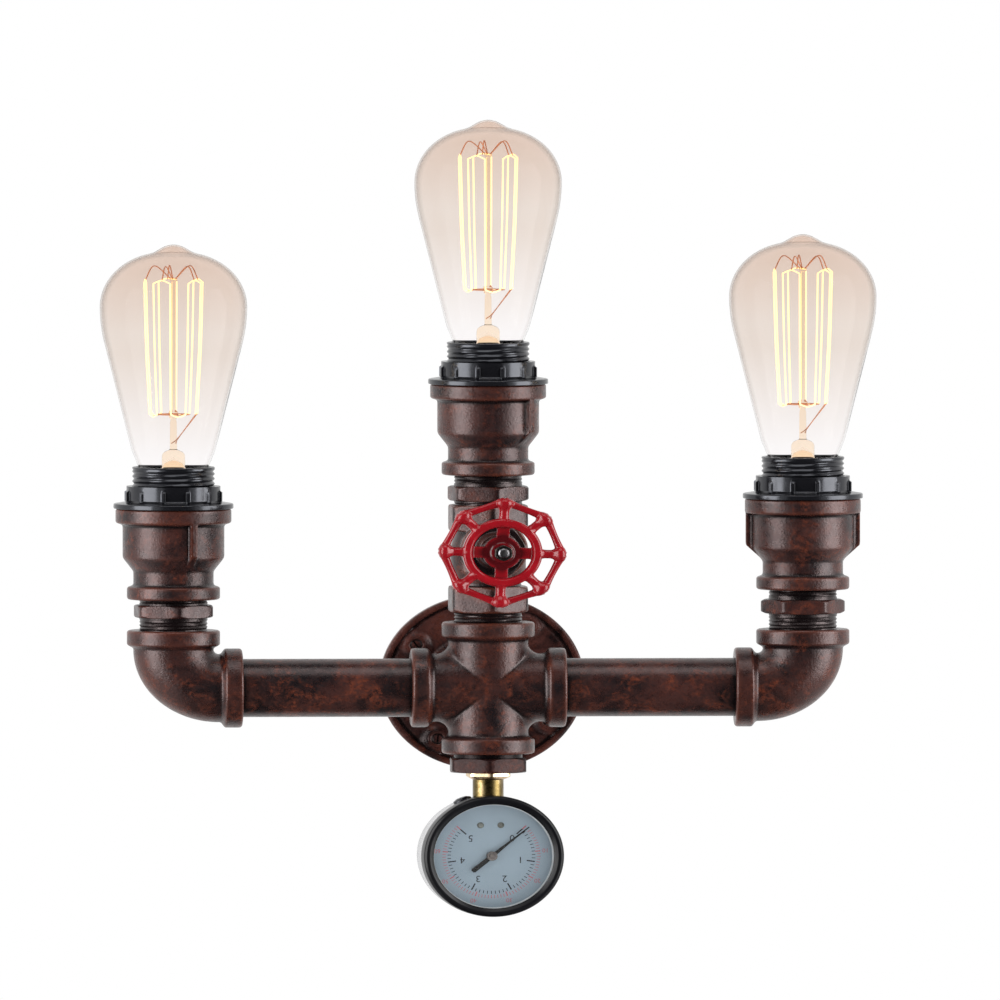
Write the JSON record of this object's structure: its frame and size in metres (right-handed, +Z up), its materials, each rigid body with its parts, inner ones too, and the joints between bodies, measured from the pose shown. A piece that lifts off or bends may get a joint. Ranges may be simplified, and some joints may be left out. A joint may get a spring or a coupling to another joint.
{
  "type": "pipe wall light",
  "caption": "Wall light of threaded pipe fittings with a red handwheel valve, a hanging pressure gauge and upright filament bulbs in black screw lampholders.",
  "frame": {"origin": "centre of the wall flange's back face, on the wall", "axes": "+Y into the wall, the light stands out along -Y; +Z up through the middle lamp; +X to the right seen from the room"},
  "size_m": [0.3408, 0.1169, 0.4106],
  "materials": {
    "painted_casting": "oxblood paint over malleable iron, black in the recesses, rubbed through to rust red",
    "painted_pipe": "oxblood paint over steel pipe",
    "bonnet_iron": "dark patina",
    "packing": "greased packing",
    "stem_steel": "turned, darkened",
    "wheel_paint": "gloss red paint over a casting",
    "gauge_brass": "turned brass",
    "gauge_black": "gloss black",
    "gauge_steel": "black enamel",
    "gauge_lens": "clear",
    "dial_white": "satin white",
    "pointer_black": "satin black",
    "spring_bronze": "drawn",
    "holder_black": "moulded, gloss",
    "contact_brass": "pressed",
    "amber_glass": "clear with an amber tint",
    "cap_metal": "pressed",
    "clear_glass": "clear",
    "filament": "lit"
  },
  "bodies": {
    "root": {"back_nipple": "painted_pipe", "bourdon_tube": "spring_bronze", "cross_fitting": "painted_casting", "gauge_bezel": "gauge_black", "gauge_case": "gauge_steel", "gauge_dial": "dial_white", "gauge_lens": "gauge_lens", "gauge_socket": "gauge_brass", "gland_nut": "bonnet_iron", "gland_packing": "packing", "hex_bushing": "painted_casting", "left_centre_contact": "contact_brass", "left_elbow": "painted_casting", "left_hex_nipple": "painted_casting", "left_lampholder": "holder_black", "left_pipe": "painted_pipe", "left_reducer": "painted_casting", "left_screw_shell": "contact_brass", "left_shade_ring": "holder_black", "middle_centre_contact": "contact_brass", "middle_hex_nipple": "painted_casting", "middle_lampholder": "holder_black", "middle_reducer": "painted_casting", "middle_screw_shell": "contact_brass", "middle_shade_ring": "holder_black", "movement_plates": "gauge_brass", "right_centre_contact": "contact_brass", "right_elbow": "painted_casting", "right_hex_nipple": "painted_casting", "right_lampholder": "holder_black", "right_pipe": "painted_pipe", "right_reducer": "painted_casting", "right_screw_shell": "contact_brass", "right_shade_ring": "holder_black", "valve_body": "painted_casting", "valve_bonnet": "bonnet_iron", "valve_nipple": "painted_pipe", "wall_flange": "painted_casting"},
    "wheel_and_stem": {"valve_stem": "stem_steel", "handwheel": "wheel_paint", "wheel_nut": "stem_steel"},
    "pointer_and_arbor": {"gauge_pointer": "pointer_black", "pointer_arbor": "gauge_brass"},
    "left_bulb_centre": {"left_bulb_tip": "cap_metal"},
    "left_bulb": {"left_bulb_glass": "amber_glass", "left_bulb_cap": "cap_metal", "left_bulb_stem": "clear_glass", "left_bulb_filament": "filament"},
    "middle_bulb_centre": {"middle_bulb_tip": "cap_metal"},
    "middle_bulb": {"middle_bulb_glass": "amber_glass", "middle_bulb_cap": "cap_metal", "middle_bulb_stem": "clear_glass", "middle_bulb_filament": "filament"},
    "right_bulb_centre": {"right_bulb_tip": "cap_metal"},
    "right_bulb": {"right_bulb_glass": "amber_glass", "right_bulb_cap": "cap_metal", "right_bulb_stem": "clear_glass", "right_bulb_filament": "filament"}
  },
  "joints": [
    {"name": "handwheel_turn", "type": "hinge", "parent": "root", "child": "wheel_and_stem", "pos_m": [0, -0.058, 0.0722], "axis": [0.0698, -0.9976, 0], "continuous": true},
    {"name": "pointer_turn", "type": "hinge", "parent": "root", "child": "pointer_and_arbor", "pos_m": [0, -0.058, -0.0865], "axis": [-0.1305, 0.9914, 0], "range_deg": [0, 270]},
    {"name": "left_bulb_rise", "type": "slide", "parent": "root", "child": "left_bulb_centre", "axis": [0, 0, 1], "range_m": [0, 0.01091]},
    {"name": "left_bulb_turn", "type": "hinge", "parent": "left_bulb_centre", "child": "left_bulb", "pos_m": [-0.138, -0.058, 0.2], "axis": [0, 0, 1], "range_deg": [0, 1080]},
    {"name": "middle_bulb_rise", "type": "slide", "parent": "root", "child": "middle_bulb_centre", "axis": [0, 0, 1], "range_m": [0, 0.01091]},
    {"name": "middle_bulb_turn", "type": "hinge", "parent": "middle_bulb_centre", "child": "middle_bulb", "pos_m": [0, -0.058, 0.2], "axis": [0, 0, 1], "range_deg": [0, 1080]},
    {"name": "right_bulb_rise", "type": "slide", "parent": "root", "child": "right_bulb_centre", "axis": [0, 0, 1], "range_m": [0, 0.01091]},
    {"name": "right_bulb_turn", "type": "hinge", "parent": "right_bulb_centre", "child": "right_bulb", "pos_m": [0.138, -0.058, 0.2], "axis": [0, 0, 1], "range_deg": [0, 1080]}
  ],
  "couplings": [
    {"joint": "left_bulb_rise", "follows": "left_bulb_turn", "m_per_rad": 0.00057757},
    {"joint": "middle_bulb_rise", "follows": "middle_bulb_turn", "m_per_rad": 0.00057757},
    {"joint": "right_bulb_rise", "follows": "right_bulb_turn", "m_per_rad": 0.00057757}
  ]
}
